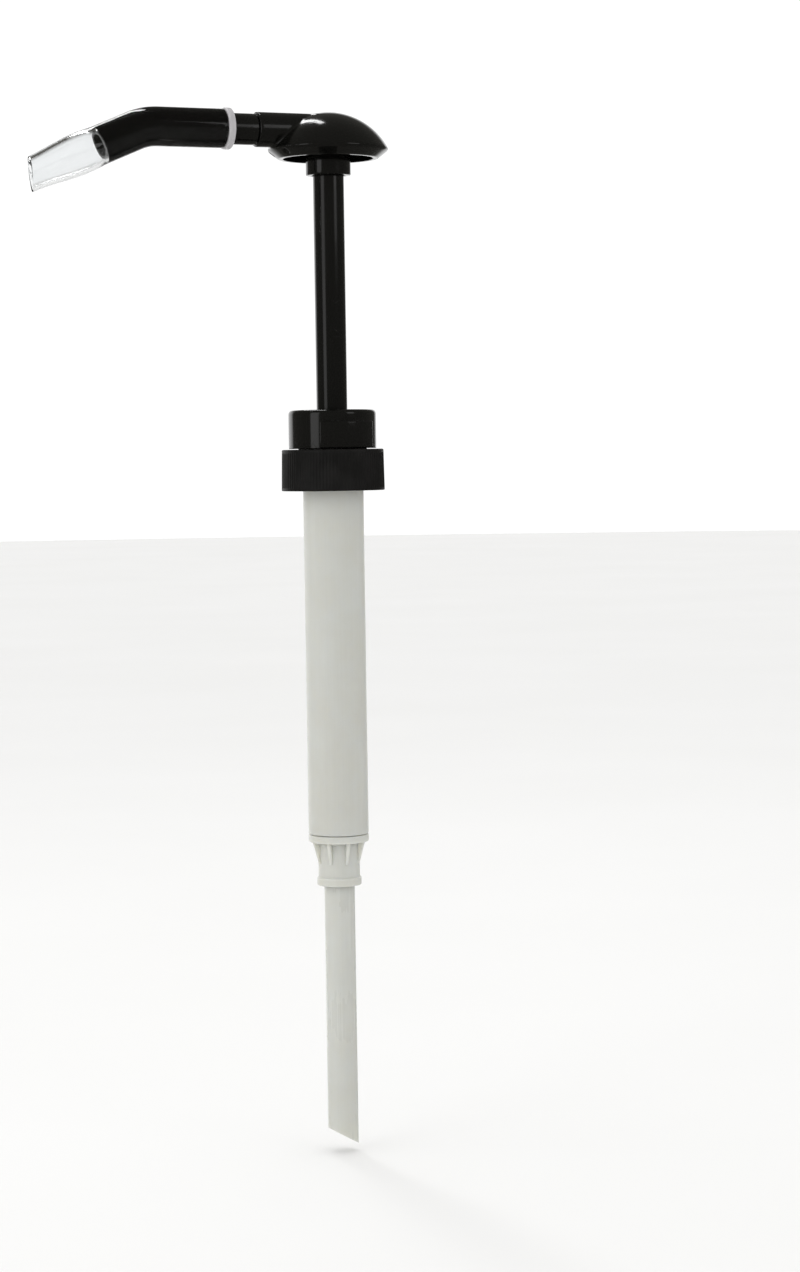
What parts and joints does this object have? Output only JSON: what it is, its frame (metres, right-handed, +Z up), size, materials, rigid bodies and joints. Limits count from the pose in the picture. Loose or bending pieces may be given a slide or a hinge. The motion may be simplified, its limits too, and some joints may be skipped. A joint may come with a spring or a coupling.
{
  "type": "gear oil pump",
  "caption": "Hand pump that screws on a jug of oil: palm knob, sprung plunger, bent nozzle with a clear hose, barrel and dip tube.",
  "frame": {"origin": "middle of the gasket face that seals on the neck of the jug", "axes": "+Z up along the plunger, -X the way the nozzle points"},
  "size_m": [0.151, 0.0496, 0.4288],
  "materials": {
    "gloss_black": "gloss",
    "matt_black": "satin",
    "natural_plastic": "satin, milky",
    "white_plastic": "satin",
    "milky_nylon": "satin, milky",
    "clear_vinyl": "clear, gloss",
    "stainless": "bright",
    "black_rubber": "matt"
  },
  "bodies": {
    "housing": {"barrel": "natural_plastic", "neck_gasket": "black_rubber", "gland_collar": "gloss_black", "stem_bush": "white_plastic", "stem_wiper": "black_rubber", "return_spring": "stainless", "spring_washer": "stainless", "foot_valve": "natural_plastic", "inlet_ball_cage": "white_plastic", "dip_tube": "natural_plastic"},
    "closure": {"threaded_closure": "matt_black"},
    "piston": {"piston": "white_plastic", "piston_cup_seal": "black_rubber", "piston_nut": "white_plastic", "outlet_ball_cage": "white_plastic"},
    "plunger": {"knob": "gloss_black", "stem_o_ring": "black_rubber", "nozzle": "gloss_black", "hose_stop_ring": "milky_nylon", "outlet_hose": "clear_vinyl", "plunger_stem": "gloss_black"},
    "outlet_valve": {"outlet_ball": "stainless"},
    "inlet_valve": {"inlet_ball": "stainless"}
  },
  "joints": [
    {"name": "plunger_stroke", "type": "slide", "parent": "housing", "child": "piston", "axis": [0, 0, 1], "range_m": [-0.095, 0], "stiffness_N_per_m": 150, "springref_m": 0.03, "deforming": ["return_spring"]},
    {"name": "plunger_turn", "type": "hinge", "parent": "piston", "child": "plunger", "pos_m": [0, 0, 0], "axis": [0, 0, 1], "continuous": true},
    {"name": "closure_turn", "type": "hinge", "parent": "housing", "child": "closure", "pos_m": [0, 0, 0], "axis": [0, 0, 1], "continuous": true},
    {"name": "inlet_ball_lift", "type": "slide", "parent": "housing", "child": "inlet_valve", "axis": [0, 0, 1], "range_m": [0, 0.003]},
    {"name": "outlet_ball_lift", "type": "slide", "parent": "piston", "child": "outlet_valve", "axis": [0, 0, 1], "range_m": [0, 0.0025]}
  ]
}
